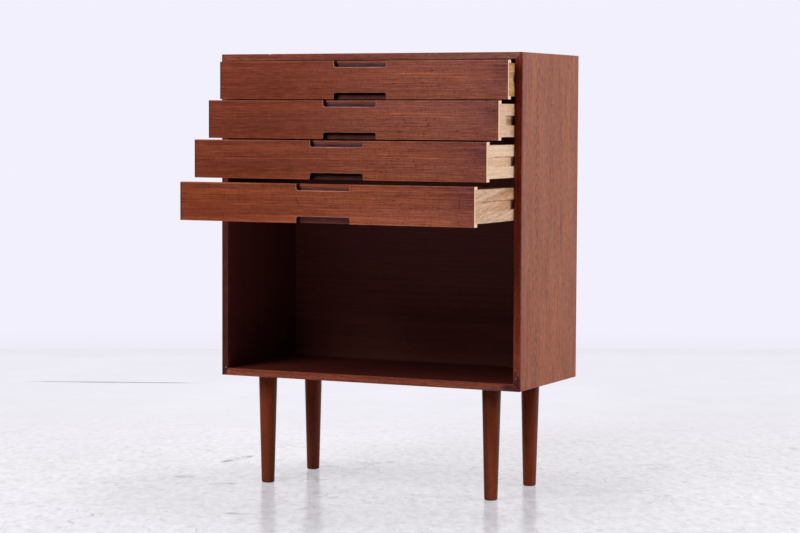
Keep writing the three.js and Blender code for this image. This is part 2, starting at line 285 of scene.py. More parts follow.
# A wood finish. Sizes are in millimetres and tones from 0 to 255; grain is the axis that the fibres follow.
# bands: axis, middle, half width, amount, tone, and where it fades in (axis, nothing at, full at)
# marks: middle, half size, amount, tone, and the turn of one that leans
# wash, a tint ramp of painted shade and painted sheen: axis, deepest at, plain at, tint. poreFade: axis, fewest at,
# all at, share of the pores there
# flame: axis, middle, half width, steepness and length of the arches, amount
plainWood = dict(
    grain="X", centre=(0, 0, 0), seed=1.0, lean=(0, 0, 0), wander=1.5, tone=(140, 80, 60), deepTone=(100, 50, 36),
    warmTone=(176, 100, 60), coolTone=(110, 66, 62), poreTone=(40, 18, 12), ringWidth=7, ringDepth=0.3,
    pith=(0, 60, 300), ringWobble=4, lineLength=160, lineWidth=5, lineDepth=0.3, dashLength=14, dashWidth=2.6,
    dashDepth=0.3, warmShare=0.4, coolShare=0.4, streakLength=380, streakWidth=6, streakShare=0.4, poreLength=9,
    poreWidth=1.1, poreShare=0.5, poreRarity=0.62, rough=0.4, sheen=0.2, relief=0.25, bands=(), marks=(),
    crossLength=5, crossDepth=0.0, wash=None, flame=None, poreFade=None, sheenBreak=0.3)


def woodFinish(name, base=(), **changes):
    look = {**plainWood, **dict(base), **changes}
    tones = [key for key in look if key.lower().endswith("tone")]
    look.update({key: shade(*look[key]) for key in tones})
    finish, tree, surface, place = startFinish(name)
    grain = look["grain"]
    seed = look["seed"]

    def spread(alongLength, acrossWidth):
        # stretch for a pattern whose features have that length and width
        return tuple(1 / ((alongLength if axis == grain else acrossWidth) * mm) for axis in "XYZ")

    def share(mask, amount):
        return times(tree, mask, amount)

    def swing(pattern, depth):
        # a factor that follows the pattern to both sides of 1
        return ranged(tree, pattern, 0.3, 0.7, 1 - depth, 1 + depth)

    def offFrom(axis, middle):
        return reckon(tree, "ABSOLUTE", reckon(tree, "SUBTRACT", axes(tree, lines)[axis], middle * mm))

    home = mapped(tree, place, shift=[-c * mm for c in look["centre"]])
    leaned = mapped(tree, home, turn=look["lean"])
    drift = noise(tree, mapped(tree, leaned, spread(420, 90)), seed, 2, 0.5, wantColour=True)
    aside = [0 if axis == grain else look["wander"] * mm for axis in "XYZ"]
    given = {0: drift, 1: [4 * part for part in aside], 2: [-2 * part for part in aside]}
    lines = vectorOf(tree, "ADD", {0: leaned, 1: vectorOf(tree, "MULTIPLY_ADD", given)})

    # yearly rings round a pith that lies beside the board
    drawnOut = [0.03 if axis == grain else 1 for axis in "XYZ"]
    pithAway = [-p * mm * part for p, part in zip(look["pith"], drawnOut)]
    given = {"Scale": 0.314 / (look["ringWidth"] * mm), "Distortion": look["ringWobble"], "Detail": 3,
             "Detail Scale": 0.35, "Detail Roughness": 0.55, "Vector": mapped(tree, lines, drawnOut, pithAway)}
    rings = newNode(tree, "ShaderNodeTexWave", given, wave_type="RINGS", rings_direction=grain, wave_profile="SAW")
    ringLine = ranged(tree, rings.outputs[1], 0.35, 1.0, smooth=True)

    def grainNoise(length, width, step, detail=2.0, rough=0.5):
        return noise(tree, mapped(tree, lines, spread(length, width)), seed + step, detail, rough)

    line = grainNoise(look["lineLength"], look["lineWidth"], 3, 4, 0.65)
    dash = grainNoise(look["dashLength"], look["dashWidth"], 5, 2, 0.6)
    streak = ranged(tree, grainNoise(look["streakLength"], look["streakWidth"], 7), 0.54, 0.66, smooth=True)
    warm = ranged(tree, grainNoise(520, 34, 11), 0.44, 0.64, smooth=True)
    cool = ranged(tree, grainNoise(430, 26, 17), 0.48, 0.66, smooth=True)
    poreNoise = grainNoise(look["poreLength"], look["poreWidth"], 23, 1)
    pore = ranged(tree, poreNoise, look["poreRarity"], look["poreRarity"] + 0.1, smooth=True)
    if look["poreFade"]:
        axis, fewAt, manyAt, few = look["poreFade"]
        pore = share(pore, ranged(tree, axes(tree, home)[axis], fewAt * mm, manyAt * mm, few, 1))

    colour = blend(tree, share(ringLine, look["ringDepth"]), look["tone"], look["deepTone"])
    colour = blend(tree, share(warm, look["warmShare"]), colour, look["warmTone"])
    colour = blend(tree, share(cool, look["coolShare"]), colour, look["coolTone"])
    for axis, middle, half, amount, tone, *fade in look["bands"]:
        band = ranged(tree, offFrom(axis, middle), 0, half * mm, amount, 0, smooth=True)
        for fadeAxis, nothingAt, fullAt in fade:
            reach = ranged(tree, axes(tree, home)[fadeAxis], nothingAt * mm, fullAt * mm, smooth=True)
            band = share(band, reach)
        colour = blend(tree, band, colour, shade(*tone))
    colour = blend(tree, share(streak, look["streakShare"]), colour, look["warmTone"])
    if look["flame"]:
        # nested arches up the middle of a crown cut leaf
        axis, middle, half, steep, period, amount = look["flame"]
        off = offFrom(axis, middle)
        climb = reckon(tree, "ADD", axes(tree, lines)[grain], share(off, steep))
        uneven = share(grainNoise(60, 30, 31, 2), 1.4)
        arch = reckon(tree, "FRACT", reckon(tree, "ADD", reckon(tree, "DIVIDE", climb, period * mm), uneven))
        arch = ranged(tree, arch, 0.62, 0.98, 0, amount, smooth=True)
        inside = share(ranged(tree, off, half * 0.4 * mm, half * mm, 1, 0, smooth=True),
                       ranged(tree, grainNoise(90, 30, 37), 0.35, 0.6, 0.2, 1))
        colour = blend(tree, share(arch, inside), colour, look["poreTone"])
    colour = lighter(tree, colour, swing(line, look["lineDepth"]))
    colour = lighter(tree, colour, swing(dash, look["dashDepth"]))
    if look["crossDepth"]:
        # faint ripples square to the fibres
        colour = lighter(tree, colour, swing(grainNoise(look["crossLength"], 16, 29, 1), look["crossDepth"]))
    if look["wash"]:
        # painted light: the colour turns deeper toward one end of the leaf; on the legs that is painted shade under
        # the case, on the faces it leaves a painted sheen at the other end
        axis, deepAt, plainAt, tint = look["wash"]
        reach = ranged(tree, axes(tree, home)[axis], deepAt * mm, plainAt * mm, 1, 0, smooth=True)
        colour = blend(tree, reach, colour, tint, "MULTIPLY")
    colour = blend(tree, share(pore, look["poreShare"]), colour, look["poreTone"])
    for spot, halfSize, amount, tone, *turn in look["marks"]:
        mask = ranged(tree, spotMask(tree, home, spot, halfSize, *turn), 0.0, 0.5, 0, amount, smooth=True)
        colour = blend(tree, mask, colour, shade(*tone))

    gloss = ranged(tree, line, 0.3, 0.7, look["rough"] + 0.05, look["rough"] - 0.04)
    unbroken = share(swing(dash, look["sheenBreak"]), ranged(tree, pore, 0, 1, 1, 1 - look["sheenBreak"]))
    height = reckon(tree, "SUBTRACT", reckon(tree, "ADD", share(line, 0.3), share(dash, 0.4)), pore)
    relief = newNode(tree, "ShaderNodeBump", {"Strength": look["relief"], "Distance": 0.3 * mm, "Height": height})
    feed(tree, surface, {
        "Base Color": colour, "Roughness": reckon(tree, "ADD", gloss, share(pore, 0.2)),
        "Specular IOR Level": share(unbroken, look["sheen"]), "Normal": relief.outputs["Normal"]})
    return finish


# Case
caseSizes = dict(
    halfWidth=350, front=-58.25, rear=261.75, bottom=237, top=932, board=15, lipping=6, rebateFrom=254.75,
    rebateWidth=8, halfGlueLine=0.1, arris=0.35, tongueIn=10.2, tongueHalf=6.3, tongueHalfThick=1.8,
    tongueRun=(-32.25, 234.75), boltHoleHalf=4.3, boltHoleRun=(230, 248))

teakBoard = dict(
    tone=(147, 81, 56), deepTone=(120, 60, 35), warmTone=(165, 97, 62), coolTone=(142, 79, 60),
    poreTone=(106, 50, 22), ringWidth=9, ringDepth=0.3, lineDepth=0.33, lineWidth=3.0, dashDepth=0.18, dashLength=12,
    dashWidth=2.2, sheenBreak=0.8, warmShare=0.3, coolShare=0.25, streakShare=0.12, poreLength=8, poreWidth=1.4,
    poreShare=0.75, poreRarity=0.64, rough=0.42, sheen=0.12, crossDepth=0.06)
sideVeneer = woodFinish(
    "sideVeneer", teakBoard, grain="Z", seed=4.2, pith=(45, 60, -60), lean=(0.01, 0.02, 0),
    flame=("Y", 22, 15, 1.5, 24, 1.0),
    bands=[
        ("Y", -50, 40, 0.5, (141, 76, 72), ("Z", 300, 600)), ("Y", 215, 45, 0.35, (148, 80, 54), ("Z", 600, 800)),
        ("Y", 70, 30, 0.25, (140, 74, 62), ("Z", 500, 800)), ("Y", 130, 200, 0.4, (166, 97, 64), ("Z", 640, 340))])
farSideVeneer = woodFinish("farSideVeneer", teakBoard, grain="Z", seed=9.7, pith=(-45, 140, 80))
topVeneer = woodFinish("topVeneer", teakBoard, grain="X", seed=2.9, pith=(0, 120, 60), centre=(0, 100, 932))
underVeneer = woodFinish("underVeneer", teakBoard, grain="X", seed=6.1, tone=(120, 66, 50))
# inside the case the teak is written dark: painted shade of the deep compartment
shadedInnerTeak = dict(
    tone=(88, 44, 40), deepTone=(76, 36, 33), warmTone=(98, 48, 38), coolTone=(80, 40, 40), poreTone=(50, 24, 22),
    lineDepth=0.12, dashDepth=0.1, poreShare=0.3, warmShare=0.3, coolShare=0.3, streakShare=0.1, rough=0.5,
    sheen=0.08)
insideVeneer = woodFinish("insideVeneer", shadedInnerTeak, grain="Z", seed=12.4)
insideVeneerLevel = woodFinish(
    "insideVeneerLevel", shadedInnerTeak, grain="X", seed=14.4, tone=(80, 33, 29), deepTone=(68, 27, 24),
    warmTone=(90, 40, 30))
boardCore = woodFinish(
    "boardCore", grain="X", seed=21.0, tone=(176, 136, 98), deepTone=(140, 100, 70), warmTone=(196, 150, 104),
    coolTone=(150, 116, 90), poreTone=(90, 60, 40), rough=0.75, relief=0.5, ringWidth=3, streakShare=0.4)
# the eased arrises of the case: partly wear, partly painted highlight
wornArris = woodFinish(
    "wornArris", grain="Z", seed=17.0, tone=(140, 82, 64), deepTone=(104, 54, 42), warmTone=(172, 108, 78),
    coolTone=(140, 100, 92), rough=0.36)


def boardEnds(name):
    # corner points and outward directions of the two mitres of a board
    size = caseSizes
    half, low, high = size["halfWidth"], size["bottom"], size["top"]
    if name in ("top", "bottom"):
        edge, inward = (high, -1) if name == "top" else (low, 1)
        return [((side * half, 0, edge), Vector((side, 0, inward))) for side in (-1, 1)]
    side = 1 if name == "right" else -1
    return [((side * half, 0, edge), Vector((-side, 0, up))) for edge, up in ((low, -1), (high, 1))]


def boardSpan(name):
    size = caseSizes
    half, low, high, thick = size["halfWidth"], size["bottom"], size["top"], size["board"]
    return dict(
        top=((-half, half), (high - thick, high)), bottom=((-half, half), (low, low + thick)),
        left=((-half, thick - half), (low, high)), right=((half - thick, half), (low, high)))[name]


def mitre(piece, name):
    for corner, outward in boardEnds(name):
        outward.normalize()
        sawOff(piece, Vector(corner) - outward * caseSizes["halfGlueLine"], outward)


def tongueCutter(corner):
    # the groove for the loose tongue, square to the mitre at that corner
    size = caseSizes
    half, thick = size["tongueHalf"], size["tongueHalfThick"]
    isLow = corner[2] < (size["bottom"] + size["top"]) / 2
    middle = Vector(corner) + Vector((-math.copysign(1, corner[0]), 0, 1 if isLow else -1)) * size["tongueIn"]
    cutter = newBlock("tongueCutter", (-half, half), size["tongueRun"], (-thick, thick))
    slant = math.copysign(math.pi / 4, corner[0] if isLow else -corner[0])
    turned = copyPiece(cutter, "tongueGroove", turn=("Y", slant), about=(middle.x, 0, middle.z))
    discard(cutter)
    return turned


def makeBoard(name):
    size = caseSizes
    spanX, spanZ = boardSpan(name)
    board = newBlock(name + "Board", spanX, (size["front"] + size["lipping"], size["rear"]), spanZ)
    mitre(board, name)
    room = size["board"] - size["rebateWidth"]
    insetX = (room - size["halfWidth"], size["halfWidth"] - room)
    insetZ = (size["bottom"] + room, size["top"] - room)
    cutAway(board, newBlock("rebateCutter", insetX, (size["rebateFrom"], size["rear"] + 5), insetZ))
    cutAway(board, *[tongueCutter(corner) for corner, outward in boardEnds(name)])
    return board


legSpots = [(-265, -5.25, "front_left"), (265, -5.25, "front_right"), (-265, 208.75, "rear_left"),
            (265, 208.75, "rear_right")]
boardLooks = [
    ("top", (0, 0, 1), topVeneer, insideVeneerLevel), ("bottom", (0, 0, -1), underVeneer, insideVeneerLevel),
    ("left", (-1, 0, 0), farSideVeneer, insideVeneer), ("right", (1, 0, 0), sideVeneer, insideVeneer)]
for name, outward, outer, inner in boardLooks:
    board = makeBoard(name)
    if name == "bottom":
        half, run = caseSizes["boltHoleHalf"], caseSizes["boltHoleRun"]
        for x, y, leg in legSpots:
            cutAway(board, newBlock("boltHole", (x - half, x + half), (y - half, y + half), run))

    def boardFinish(middle, direction):
        facing = direction.dot(Vector(outward))
        if facing > 0.9:
            return 0
        return 1 if facing < -0.9 and middle.y < caseSizes["rebateFrom"] else 2

    finishFaces(board, (outer, inner, boardCore, wornArris), boardFinish)
    easeEdges(board, caseSizes["arris"], 2, 3)
    fit(board, "case", "teak_veneer", name + ("_side_panel" if name in ("left", "right") else "_panel"))
print("case boards done")

# Lippings
darkBruise = (62, 30, 32)
paleChip = (206, 190, 182)
lipTones = dict(ringWidth=5, ringDepth=0.35, rough=0.4, sheen=0.12, poreTone=(48, 16, 12))
lipLooks = dict(
    top=dict(
        grain="X", seed=31.0, tone=(128, 64, 52), deepTone=(98, 46, 40), warmTone=(156, 80, 52),
        # the pale band at the right end is a painted highlight, and the dark line along the lower edge is painted
        # shadow where drawer 1 meets the lipping
        coolTone=(116, 66, 60), bands=[("X", 330, 420, 0.35, (166, 112, 100)), ("Z", 916.4, 3.6, 1, (40, 13, 10))],
        marks=[((347, -58, 931), (6, 4, 2.6), 0.8, (40, 18, 18)), ((-232, -58, 931.5), (5, 4, 1.6), 0.8, paleChip)]),
    bottom=dict(
        grain="X", seed=33.0, tone=(138, 68, 48), deepTone=(98, 43, 30), warmTone=(144, 72, 44),
        coolTone=(102, 50, 42), bands=[("X", 240, 120, 0.35, (102, 60, 50))],
        marks=[
            ((330, -58, 241), (26, 6, 12), 0.85, darkBruise, (0, 0.3, 0)),
            ((-346, -58, 242), (10, 6, 10), 0.8, darkBruise), ((-333, -58, 246), (1.8, 3, 1.5), 0.5, paleChip),
            ((300, -58, 239), (40, 5, 3), 0.7, (90, 66, 70)), ((60, -58, 251), (2, 3, 1.4), 0.35, paleChip)]),
    left=dict(
        grain="Z", seed=35.0, tone=(76, 32, 30), deepTone=(58, 22, 22), warmTone=(98, 44, 36), coolTone=(78, 40, 42),
        # the dark band along the outer edge is painted shade
        bands=[("Z", 927, 24, 1.0, (130, 66, 55)), ("X", -350, 4, 0.8, (52, 22, 26))],
        marks=[((-345, -58, 250), (7, 6, 18), 0.7, darkBruise), ((-341, -58, 254), (1.6, 3, 1.8), 0.5, paleChip)]),
    right=dict(
        grain="Z", seed=37.0, tone=(112, 39, 21), deepTone=(88, 28, 14), warmTone=(136, 56, 32),
        coolTone=(96, 36, 28), sheen=0.05,
        # darker toward the top, where the drawers shade it, and lighter low down: painted shade and painted light;
        # the band at 928 matches the top lipping
        bands=[
            ("Z", 830, 110, 0.4, (86, 26, 12)), ("Z", 460, 200, 0.4, (116, 56, 42)),
            ("Z", 893, 34, 0.65, (76, 27, 17)), ("Z", 928, 15, 0.8, (124, 64, 54)),
            ("Z", 300, 70, 0.5, (138, 66, 48))],
        marks=[
            ((344, -58, 250), (13, 6, 26), 0.8, (70, 34, 38)), ((341, -58, 281), (1.5, 3, 1.5), 0.4, paleChip),
            ((341, -58, 264), (1.3, 3, 2), 0.4, paleChip), ((345, -58, 272), (1.1, 3, 1.3), 0.25, paleChip)]))
for name, look in lipLooks.items():
    size = caseSizes
    spanX, spanZ = boardSpan(name)
    strip = newBlock(name + "Lip", spanX, (size["front"], size["front"] + size["lipping"]), spanZ)
    mitre(strip, name)
    finishFaces(strip, (woodFinish(name + "LipTeak", lipTones, **look), wornArris))
    easeEdges(strip, size["arris"], 3)
    fit(strip, "case", "teak_solid", name + "_lipping")
print("lippings done")

# Back panel
backSizes = dict(halfWidth=342.5, low=244.5, high=924.5, front=254.75, thick=5)
backOutside = woodFinish(
    "backOutside", grain="X", seed=41.0, tone=(122, 78, 58), deepTone=(96, 58, 42), warmTone=(146, 92, 62),
    coolTone=(104, 70, 60), ringWidth=14, pith=(0, 40, 500), lean=(0, 0.02, 0), rough=0.62, relief=0.4)
# the back's inner face, written dark as painted shade
backInside = woodFinish("backInside", shadedInnerTeak, grain="X", seed=43.0, tone=(98, 50, 45))
size = backSizes
backPanel = newBlock("backPanel", (-size["halfWidth"], size["halfWidth"]),
                     (size["front"], size["front"] + size["thick"]), (size["low"], size["high"]))
finishFaces(backPanel, (backOutside, backInside, boardCore),
            lambda middle, direction: 1 if direction.y < -0.9 else 0 if direction.y > 0.9 else 2)
easeEdges(backPanel, 0.4, 2, 2)
fit(backPanel, "case", "back_board", "back_panel")
print("back panel done")

# Legs
legSizes = dict(foot=14, top=20, height=231, footRound=3.5, topEase=0.8, bore=4.3, boreDepth=40)
legTeak = dict(
    grain="Z", deepTone=(84, 34, 20), warmTone=(130, 58, 32), coolTone=(88, 38, 30), poreTone=(50, 18, 10),
    ringWidth=5, ringDepth=0.25, lineDepth=0.12, dashDepth=0.1, poreShare=0.35, warmShare=0.3, coolShare=0.3,
    streakShare=0.2, rough=0.34, sheen=0.13, lean=(0.03, 0.02, 0))
legLooks = [
    dict(seed=51.0, tone=(118, 51, 27), pith=(6, 30, 0), bands=[("X", -14, 12, 0.4, (88, 34, 18))]),
    dict(
        seed=52.3, tone=(116, 50, 29), pith=(14, 30, 0),
        # painted shade on the left half, and a painted highlight stripe on the lower right
        bands=[("X", -13, 18, 0.92, (62, 25, 17)), ("X", 7, 9, 0.6, (146, 68, 34), ("Z", 190, 70))],
        # darker toward the top: painted shade under the case
        wash=("Z", 200, 40, (0.72, 0.7, 0.7, 1))),
    dict(seed=53.9, tone=(118, 54, 33), pith=(-6, 30, 0)),
    # the last leg is darker toward the top: painted shade under the case
    dict(seed=55.2, tone=(138, 60, 31), pith=(0, 30, 0), wash=("Z", 200, 60, (0.62, 0.6, 0.6, 1)))]
for (x, y, name), look in zip(legSpots, legLooks):
    size = legSizes
    leg = newRound("turnedLeg_" + name, (x, y, 0), size["foot"], size["height"], topRadius=size["top"])
    bevelWhere(leg, lambda a, b: max(a.z, b.z) < hair, size["footRound"], 6)
    bevelWhere(leg, lambda a, b: min(a.z, b.z) > legSizes["height"] - hair, size["topEase"], 2)
    cutAway(leg, newRound("legBore", (x, y, size["height"] - size["boreDepth"]), size["bore"], 60, 24))
    finishFaces(leg, (woodFinish("legTeak_" + name, legTeak, centre=(x, y, 0), **look),))
    shadeSoftly(leg)
    fit(leg, "case", "teak_leg", "leg_" + name)
print("legs done")

# Drawers, modelled once with the face at depth zero and the lower edge at height zero
drawerSizes = dict(
    halfWidth=334, height=80, face=1, front=16, side=12, sideInset=6.5, lap=6, length=309, play=0.15, bottomAt=16.5,
    bottomThick=4, bottomFrom=12, grooveInto=4, backRun=(295, 305), backTop=70.5, pullHalf=61, pullHigh=13.5,
    pullDeep=13.5, pullCorner=5, pullScoop=1.5, pullRound=0.8, runnerLow=30, runnerHigh=50, runnerInto=6,
    cutterRadius=80, runOutEnd=63.9, cutTo=30)
drawerPlaces = [("drawer_1", -94.55, 835.5), ("drawer_2", -142.95, 752.7), ("drawer_3", -202.35, 669.9),
                ("drawer_4", -261.75, 582.4)]


def pullCutter(isUpper):
    size = drawerSizes
    half, high, deep = size["pullHalf"], size["pullHigh"], size["pullDeep"]
    low, top = (size["height"] - high, size["height"] + overCut) if isUpper else (-overCut, high)
    edge = low if isUpper else top
    cutter = newBlock("pullCutter", (-half, half), (-overCut, deep), (low, top))

    def isCorner(a, b):
        return max(abs(a.z - edge), abs(b.z - edge), abs(a.x - b.x)) < hair

    bevelWhere(cutter, isCorner, size["pullCorner"], 8)
    bevelWhere(cutter, lambda a, b: min(a.y, b.y) > deep - hair, size["pullScoop"], 3)
    return cutter


def inPull(middle):
    size = drawerSizes
    toEdge = min(middle.z, size["height"] - middle.z)
    return (abs(middle.x) < size["pullHalf"] + 0.1 and middle.y < size["pullDeep"] + 0.1
            and toEdge < size["pullHigh"] + 0.6)


def isPullEdge(a, b):
    size = drawerSizes
    middle = size["height"] / 2
    pullFrom = middle - size["pullHigh"] - 0.1
    if any(end.y > hair or abs(end.x) > size["pullHalf"] + 0.1 or abs(end.z - middle) < pullFrom for end in (a, b)):
        return False
    # not the short remains of the face's own edges
    return abs(a.z - b.z) > hair or min(a.z, size["height"] - a.z) > hair


size = drawerSizes
play = size["play"]
half, height = size["halfWidth"], size["height"]
innerHalf = half - size["side"]
sheetHalf = innerHalf + size["grooveInto"]
sideZ = (size["sideInset"], height - size["sideInset"])
bottomZ = (size["bottomAt"], size["bottomAt"] + size["bottomThick"])
slotZ = (bottomZ[0] - play, bottomZ[1] + play)
backFrom, backTo = size["backRun"]

faceMaster = newBlock("faceMaster", (-half, half), (0, size["face"]), (0, height))
cutAway(faceMaster, pullCutter(True), pullCutter(False))
bevelWhere(faceMaster, isPullEdge, size["pullRound"], 3)

frontMaster = newBlock("frontMaster", (-half, half), (size["face"], size["front"]), (0, height))
cutAway(frontMaster, pullCutter(True), pullCutter(False))
for side in (-1, 1):
    spanX = sorted((side * (innerHalf - play), side * (half + overCut)))
    spanZ = (sideZ[0] - play, sideZ[1] + play)
    cutAway(frontMaster, newBlock("lapCutter", spanX, (size["lap"] - play, size["cutTo"]), spanZ))
spanX = (play - innerHalf, innerHalf - play)
cutAway(frontMaster, newBlock("slotCutter", spanX, (size["bottomFrom"], size["cutTo"]), slotZ))

sideMaster = newBlock("sideMaster", (innerHalf, half), (size["lap"], size["length"]), sideZ)
# the runner's groove begins where a round cutter was let into the side
grooveAt, grooveLow, grooveHigh = half - size["runnerInto"], size["runnerLow"], size["runnerHigh"]
runOut = newRound("runOut", (grooveAt + size["cutterRadius"], size["runOutEnd"], grooveLow), size["cutterRadius"],
                  grooveHigh - grooveLow, 256)
grooveRun = newBlock("grooveRun", (grooveAt, half + overCut), (size["runOutEnd"], size["length"] + overCut),
                     (grooveLow, grooveHigh))
inward = (innerHalf - overCut, sheetHalf)
dadoZ = (size["bottomAt"], height + overCut)
cutAway(sideMaster, runOut, grooveRun)
cutAway(sideMaster, newBlock("slotCutter", inward, (0, size["length"] + overCut), slotZ))
cutAway(sideMaster, newBlock("dadoCutter", inward, (backFrom - play, backTo + play), dadoZ))

spanX = (play - sheetHalf, sheetHalf - play)
backMaster = newBlock("backMaster", spanX, size["backRun"], (bottomZ[1] + play, size["backTop"]))
bottomMaster = newBlock("bottomMaster", spanX, (size["bottomFrom"] + play, backTo), bottomZ)

faceTones = dict(
    grain="X", tone=(142, 74, 58), deepTone=(122, 63, 44), warmTone=(188, 106, 60), coolTone=(124, 70, 56),
    poreTone=(62, 26, 12), ringWidth=6, ringDepth=0.25, warmShare=0.12, coolShare=0.2, streakLength=220,
    streakWidth=1.8, streakShare=0.42, rough=0.42, sheen=0.18, pith=(0, 60, 400), wander=1.4, lineLength=340,
    lineWidth=1.8, lineDepth=0.36, dashLength=30, dashWidth=1.5, dashDepth=0.26, sheenBreak=0.9, poreLength=8,
    poreWidth=1.3, poreShare=0.95, poreRarity=0.63, crossLength=4, crossDepth=0.1,
    bands=[
        ("Z", 50, 3, 0.12, (184, 102, 66), ("X", -220, 60)), ("Z", 42, 5, 0.22, (110, 58, 52), ("X", -120, 120)),
        ("Z", 8, 9, 0.25, (170, 92, 54), ("X", -300, -120)), ("Z", 66, 8, 0.15, (160, 84, 56), ("X", 200, -150)),
        # on the next line, the dark band at the left end is painted shade on the rounded end
        ("X", 340, 90, 0.75, (106, 52, 50), ("Z", -10, 10)), ("X", -334, 6.5, 0.75, (58, 28, 30)),
        # the pale bands along the top and bottom edges are painted highlights
        ("Z", 80.2, 2.8, 0.45, (198, 134, 120)), ("Z", 0.2, 3, 0.4, (190, 116, 92)),
        # the last band on the next line is painted sheen on the lower right
        ("X", 60, 300, 0.22, (160, 88, 62), ("Z", 70, 20)), ("Z", 20, 28, 0.4, (162, 92, 74), ("X", 20, 200))])
plainTeak = dict(faceTones, bands=(), crossDepth=0.05)
paleTones = dict(
    grain="Y", tone=(224, 190, 158), deepTone=(206, 166, 132), warmTone=(214, 168, 120), coolTone=(216, 184, 158),
    poreTone=(160, 116, 84), ringWidth=8, ringDepth=0.3, lineDepth=0.06, dashDepth=0.08, warmShare=0.3, coolShare=0.3,
    streakShare=0.2, rough=0.6, poreShare=0.4)
# each face is deepened at its left end, leaving a painted sheen at its right end; the tones' blue carries some of
# that painted sheen as well
faceSheenTints = [(0.70, 0.47, 0.30, 1), (0.70, 0.46, 0.29, 1), (0.77, 0.60, 0.42, 1), (0.84, 0.68, 0.50, 1)]
faceShades = [(140, 75, 62), (138, 77, 68), (132, 67, 54), (130, 63, 44)]


def scratch(x, z, halfWide, halfHigh, amount, lean=0):
    # a scratch, dent or dark speck as seen on a face, from its middle and lower edge
    return (x, 0, z), (halfWide, 3, halfHigh), amount, (84, 34, 26), (0, lean, 0)


faceMarks = [
    [scratch(-191, 5, 6, 3, 0.5), scratch(216, 14, 5, 2, 0.5)],
    [scratch(-191.5, 33.5, 2.6, 2.6, 0.8), scratch(116, 16, 10, 2.2, 0.6), scratch(171, 11, 6, 2, 0.5),
     scratch(240, 44, 4, 2, 0.5)],
    [scratch(108, 26, 9, 1.6, 0.4)],
    [scratch(-58, 44, 1.6, 14, 0.95, -0.46), scratch(302.5, 48, 1.5, 24, 0.8, 0.06), scratch(300, 9, 1.2, 7, 0.6),
     scratch(-160, 32, 3, 6, 0.35)]]
# the four drawers' sides come from different planks
sideLooks = [
    dict(
        tone=(202, 152, 104), deepTone=(160, 104, 62), warmTone=(184, 120, 62), coolTone=(226, 184, 138),
        poreTone=(130, 78, 46), ringWidth=12, ringDepth=0.6, coolShare=0.7, dashDepth=0.36, dashLength=11,
        # the dark mark at the groove's start is painted shadow of the case's lipping
        dashWidth=6, poreShare=0.7, poreWidth=2.4, marks=[((334, 38, 40), (8, 14, 10), 0.9, (36, 20, 13))]),
    dict(
        tone=(222, 184, 156), coolTone=(212, 184, 168), ringDepth=0.3, dashDepth=0.12, dashLength=16, dashWidth=5,
        poreTone=(150, 98, 62), poreShare=0.6,
        # browner toward the case and around the groove: painted shade on the pale wood
        bands=[
            ("Z", 16, 15, 0.8, (186, 126, 78), ("Y", 44, 84)), ("Z", 54, 16, 0.6, (192, 136, 90), ("Y", 56, 90)),
            ("Z", 38, 14, 0.9, (146, 90, 50), ("Y", 42, 72))]),
    dict(
        tone=(233, 199, 168), deepTone=(218, 176, 138), warmTone=(226, 186, 142), ringDepth=0.4, dashDepth=0.1,
        # the browner band along the groove is painted shade
        lineDepth=0.12, poreShare=0.5, bands=[("Z", 40, 12, 0.35, (200, 156, 108))]),
    dict(
        tone=(212, 174, 142), deepTone=(184, 138, 100), warmTone=(200, 150, 104), lean=(-0.15, 0, 0), ringWidth=9,
        ringDepth=0.45, dashDepth=0.26, dashLength=20, dashWidth=2.6, poreShare=0.6, poreLength=14, poreWidth=1.3,
        poreTone=(146, 94, 58), poreRarity=0.62,
        # browner toward the case and along the groove: browner wood, deepened with painted shade
        bands=[
            ("Z", 20, 26, 0.6, (198, 134, 82), ("Y", 70, 200)), ("Z", 40, 13, 0.8, (150, 100, 64), ("Y", 30, 180)),
            ("Z", 40, 12, 0.3, (188, 142, 98)), ("Z", 72, 12, 0.6, (190, 130, 82), ("Y", 80, 210))])]
# painted shade and painted light across the height of each pull: dark where the pull's overhang shades it, pale where
# light reaches it
upperPullLight = [("Z", 69, 7.5, 0.9, (58, 34, 46)), ("Z", 79.5, 5.5, 0.85, (146, 78, 50))]
pullLightAndShade = [
    upperPullLight + [("Z", 13, 6, 0.9, (30, 12, 12)), ("Z", 3, 6, 0.5, (92, 48, 56))],
    upperPullLight + [("Z", 13, 7, 0.9, (30, 12, 12)), ("Z", 3, 6, 0.4, (92, 48, 56))],
    upperPullLight + [("Z", 12, 9, 0.9, (28, 14, 12)), ("Z", 3, 5, 0.6, (56, 34, 34))],
    [("Z", 68, 4, 0.5, (72, 38, 44)), ("Z", 77, 9, 0.85, (146, 70, 38)), ("Z", 13.5, 3, 0.7, (40, 18, 16))]]
pullTeak = woodFinish(
    "pullTeak", plainTeak, seed=61.0, tone=(104, 52, 43), deepTone=(80, 38, 33), warmTone=(120, 60, 42),
    coolTone=(96, 52, 50), rough=0.5, wander=0.3,
    bands=[(axis, z + up, halfBand, amount, tone) for (drawer, y, z), bands in zip(drawerPlaces, pullLightAndShade)
           for axis, up, halfBand, amount, tone in bands])
# the pulls' end walls, written dark as painted shade
pullEnd = woodFinish(
    "pullEnd", plainTeak, grain="Z", seed=60.0, tone=(46, 20, 18), deepTone=(36, 14, 13), warmTone=(56, 26, 20),
    coolTone=(42, 20, 20), rough=0.6, sheen=0.05)
# the rounded lips of the pulls, written pale as painted highlight
pullLip = woodFinish(
    "pullLip", plainTeak, seed=59.0, tone=(196, 132, 112), deepTone=(160, 92, 66), warmTone=(214, 140, 98),
    rough=0.36)
edgeTeak = woodFinish("edgeTeak", plainTeak, seed=62.0, tone=(120, 66, 54))
